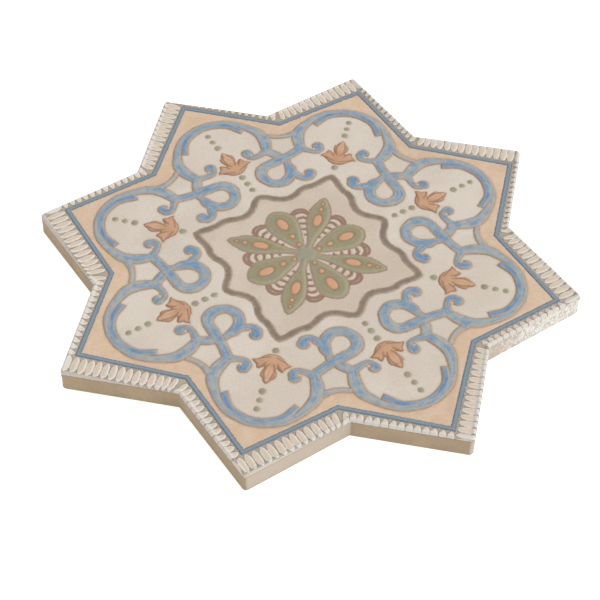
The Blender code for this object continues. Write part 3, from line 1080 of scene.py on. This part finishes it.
def sector_places(index):
    """One eighth of the ornament, out to the line star: a grid over the kite between centre, notches and tip.

    With a and b between 0 and 1 the place is ab tip + a(1 - b) right notch + (1 - a)b left notch.
    """
    (tip, _), (notch, spread) = line_corners(index)
    a, b = np.meshgrid(np.linspace(0, 1, FACE_CELLS + 1), np.linspace(0, 1, FACE_CELLS + 1), indexing="ij")
    u = a * b * tip + (a + b - 2 * a * b) * notch
    w = (b - a) * spread
    return line_to_tile(u, w, index)


def rim_places(index):
    """The rim round one point: rows out to the rounded edge, over it, and down the side to the paint's end.

    Returns the places on the tile as if edge and side were unrolled flat, where the pattern is measured, and
    a function that gives the true points from the heights that belong there. Over the edge, a point stands at
    the angle a on an arc of radius ARRIS + rise, and down the side the rise fades out.
    """
    (tip, _), (notch, spread) = line_corners(index)
    s = np.linspace(0, 1, EDGE_COLUMNS + 1)
    u = notch + (tip - notch) * s
    w = -spread * (1 - s)
    inner = line_to_tile(np.concatenate([u, u[-2::-1]]), np.concatenate([w, -w[-2::-1]]), index)
    edge = outline(index, ARRIS)
    out = (outline(index, 0.0) - edge) / ARRIS
    level = [inner + (edge - inner) * row / RIM_ROWS for row in range(RIM_ROWS)]
    angle = np.concatenate([np.linspace(0, math.pi / 2, ARRIS_ROWS + 1), np.full(DROP_ROWS, math.pi / 2)])
    share = np.concatenate([np.zeros(ARRIS_ROWS + 1), np.linspace(0, 1, DROP_ROWS + 1)[1:]])
    drop = share * (PAINT_DEPTH - ARRIS)
    unrolled = [edge + out * way for way in ARRIS * angle + drop]

    def true_points(height):
        rise = (height[RIM_ROWS:] - THICKNESS) * (1 - share)[:, None]
        reach = (ARRIS + rise) * np.sin(angle)[:, None]
        x, y = edge[:, None] + out[:, None] * reach
        z = THICKNESS - ARRIS - drop[:, None] + (ARRIS + rise) * np.cos(angle)[:, None]
        flat = np.stack([*np.stack(level, axis=1), height[:RIM_ROWS]], axis=2)
        return np.concatenate([flat, np.stack([x, y, z], axis=2)])

    return np.stack(level + unrolled, axis=1), true_points


def painted_clay():
    """Thin water colours over cream slip, fired matt. The brown outlines were drawn first and bled."""
    material, paint, shader, place = new_material("painted_clay", 0.72)
    mottle, grain, normal = paint.group(GRAIN, place, 220.0, 1100.0, 0.3)
    speckle = paint.noise(place, 900.0, 2.0)
    broad = paint.step(paint.noise(place, 45.0), 0.35, 0.65)
    ragged = paint.about(speckle, 6.0)

    def mask(name, soft=1.4):
        """Where a field is above zero, with an edge as ragged as a brush leaves it."""
        return paint.step(paint.math("ADD", paint.field(name), ragged), -soft, soft)

    hand_drawn = {
        "mottle": mottle,
        "fine": paint.step(grain, 0.3, 0.7),
        "broad": broad,
        "speckle": speckle,
        "mask": mask,
        "place": place,
    }
    cream = paint.mix(broad, srgb(217, 206, 192), srgb(209, 197, 182))
    ground = paint.mix(broad, srgb(211, 196, 179), srgb(202, 186, 168))
    colour = paint.mix(mask("middle"), cream, ground)
    peach = paint.mix(broad, srgb(218, 189, 161), srgb(210, 180, 152))
    peach = paint.mix(paint.step(mottle, 0.45, 0.62, 0.0, 0.35), peach, srgb(220, 200, 178))
    colour = paint.mix(mask("peach", 3.0), colour, peach)
    colour = paint_scrolls(paint, colour, hand_drawn)
    colour = paint_palmettes(paint, colour, hand_drawn)
    colour = paint_beads(paint, colour, hand_drawn)
    colour = paint_waved_line(paint, colour, hand_drawn)
    colour = paint_rosette(paint, colour, hand_drawn)
    colour = paint_rim(paint, colour, hand_drawn)
    colour = paint_frame_line(paint, colour, hand_drawn)
    paint.put(shader.inputs["Base Color"], paint.scaled(colour, paint.step(grain, 0.2, 0.8, 0.78, 0.9)))
    paint.put(shader.inputs["Normal"], normal)
    return material


PAINTED_CLAY = painted_clay()

for index in range(POINTS):
    x, y = sector_places(index)
    fields, height = face_fields(x, y, index, inner=True)
    points = np.stack([x, y, height], axis=2)
    add_piece(f"painted_sector_{index + 1}", points, unit_grid(*x.shape), PAINTED_CLAY, fields)

    (x, y), true_points = rim_places(index)
    fields, height = face_fields(x, y, index, inner=False)
    fields["facing"] = np.broadcast_to(facing_right(*outline(index, 0.0)), x.shape)
    add_piece(f"gadroon_rim_{index + 1}", true_points(height), unit_grid(*x.shape), PAINTED_CLAY, fields)


# One skin
#
# All the pieces are parts of one fired surface, so where they meet they are given the same normals, and no
# seam shows in the light.

SAME_PLACE = 2e-6


def corner_normals(mesh):
    """A mesh's points, and at each the sum of the normals of the faces around it, times their areas."""
    points = np.empty(len(mesh.vertices) * 3)
    mesh.vertices.foreach_get("co", points)
    points = points.reshape(-1, 3)
    facing = np.empty(len(mesh.polygons) * 3)
    mesh.polygons.foreach_get("normal", facing)
    area = np.empty(len(mesh.polygons))
    mesh.polygons.foreach_get("area", area)
    count = np.empty(len(mesh.polygons), int)
    mesh.polygons.foreach_get("loop_total", count)
    corners = np.empty(len(mesh.loops), int)
    mesh.loops.foreach_get("vertex_index", corners)
    weighted = np.repeat(facing.reshape(-1, 3) * area[:, None], count, axis=0)
    normals = np.stack([np.bincount(corners, weighted[:, k], len(points)) for k in range(3)], axis=1)
    return points, normals


found = [corner_normals(piece.data) for piece in pieces]
places = np.round(np.concatenate([points for points, _ in found]) / SAME_PLACE).astype(np.int64)
_, shared = np.unique(places, axis=0, return_inverse=True)
shared = shared.ravel()
normals = np.concatenate([normals for _, normals in found])
normals = np.stack([np.bincount(shared, normals[:, k]) for k in range(3)], axis=1)[shared]
normals /= np.maximum(np.linalg.norm(normals, axis=1, keepdims=True), 1e-30)
ends = np.cumsum([len(points) for points, _ in found])
for piece, its_normals in zip(pieces, np.split(normals, ends[:-1])):
    piece.data.normals_split_custom_set_from_vertices(its_normals.tolist())


# Table and light
#
# A white light table, one broad soft light from the right, and light from all round. They are for the picture
# alone and no part of the tile.

TABLE_HALF = 3.0
TABLE_DROP = 0.0002
LIGHT_FROM = (1.0, 0.1, 0.85)


def light_table():
    """Matt white glass, lit from below."""
    material, _, shader, _ = new_material("light_table", 0.9)
    shader.inputs["Base Color"].default_value = (0.9, 0.9, 0.9, 1.0)
    shader.inputs["Emission Color"].default_value = (1.0, 1.0, 1.0, 1.0)
    shader.inputs["Emission Strength"].default_value = 0.55
    return material


table_mesh = bpy.data.meshes.new("table")
corners = [(sx * TABLE_HALF, sy * TABLE_HALF, -TABLE_DROP) for sx, sy in ((-1, -1), (1, -1), (1, 1), (-1, 1))]
table_mesh.from_pydata(corners, [], [(0, 1, 2, 3)])
table_mesh.materials.append(light_table())
table = bpy.data.objects.new("table", table_mesh)
bpy.context.scene.collection.objects.link(table)

world = bpy.data.worlds.new("studio")
world.use_nodes = True
world.node_tree.nodes["Background"].inputs["Color"].default_value = (1.0, 1.0, 1.0, 1.0)
world.node_tree.nodes["Background"].inputs["Strength"].default_value = 0.84
bpy.context.scene.world = world

softbox_data = bpy.data.lights.new("softbox", "SUN")
softbox_data.angle = math.radians(38)
softbox_data.energy = 1.6
softbox = bpy.data.objects.new("softbox", softbox_data)
softbox.location = LIGHT_FROM
softbox.rotation_euler = softbox.location.to_track_quat("Z", "Y").to_euler()
bpy.context.scene.collection.objects.link(softbox)


# Camera
#
# A long lens, a little to the right of the front, looking down at 48 degrees, from where the outline looks as
# it does in the photograph. Distances are in tile radii.

CAMERA_AZIMUTH = 0.1895
CAMERA_ELEVATION = 0.8437
CAMERA_ROLL = 0.0109
CAMERA_DISTANCE = 5.7126
CAMERA_ASIDE = (0.0181, -0.1662)
SENSOR = 36.0
FOCAL_SHARE = 2.6352


def camera_matrix():
    """Where the camera stands and how it looks: back is the way from the tile to the camera."""
    turn, lift = CAMERA_AZIMUTH, CAMERA_ELEVATION
    back = np.array([math.sin(turn) * math.cos(lift), -math.cos(turn) * math.cos(lift), math.sin(lift)])
    right = np.array([math.cos(turn), math.sin(turn), 0.0])
    down = np.cross(-back, right)
    cosine, sine = math.cos(CAMERA_ROLL), math.sin(CAMERA_ROLL)
    roll = np.array([[cosine, -sine, 0.0], [sine, cosine, 0.0], [0.0, 0.0, 1.0]])
    rows = roll @ np.stack([right, down, -back])
    aside = np.array([*CAMERA_ASIDE, CAMERA_DISTANCE])
    centre = np.array([0.0, 0.0, THICKNESS]) - rows.T @ aside * POINT_RADIUS
    matrix = np.identity(4)
    matrix[:3, :3] = (rows * [[1.0], [-1.0], [-1.0]]).T
    matrix[:3, 3] = centre
    return Matrix(matrix.tolist())


camera_data = bpy.data.cameras.new("camera")
camera_data.sensor_width = SENSOR
camera_data.sensor_fit = "HORIZONTAL"
camera_data.lens = SENSOR * FOCAL_SHARE
camera = bpy.data.objects.new("camera", camera_data)
camera.matrix_world = camera_matrix()
bpy.context.scene.collection.objects.link(camera)
bpy.context.scene.camera = camera
bpy.context.scene.view_settings.view_transform = "Standard"
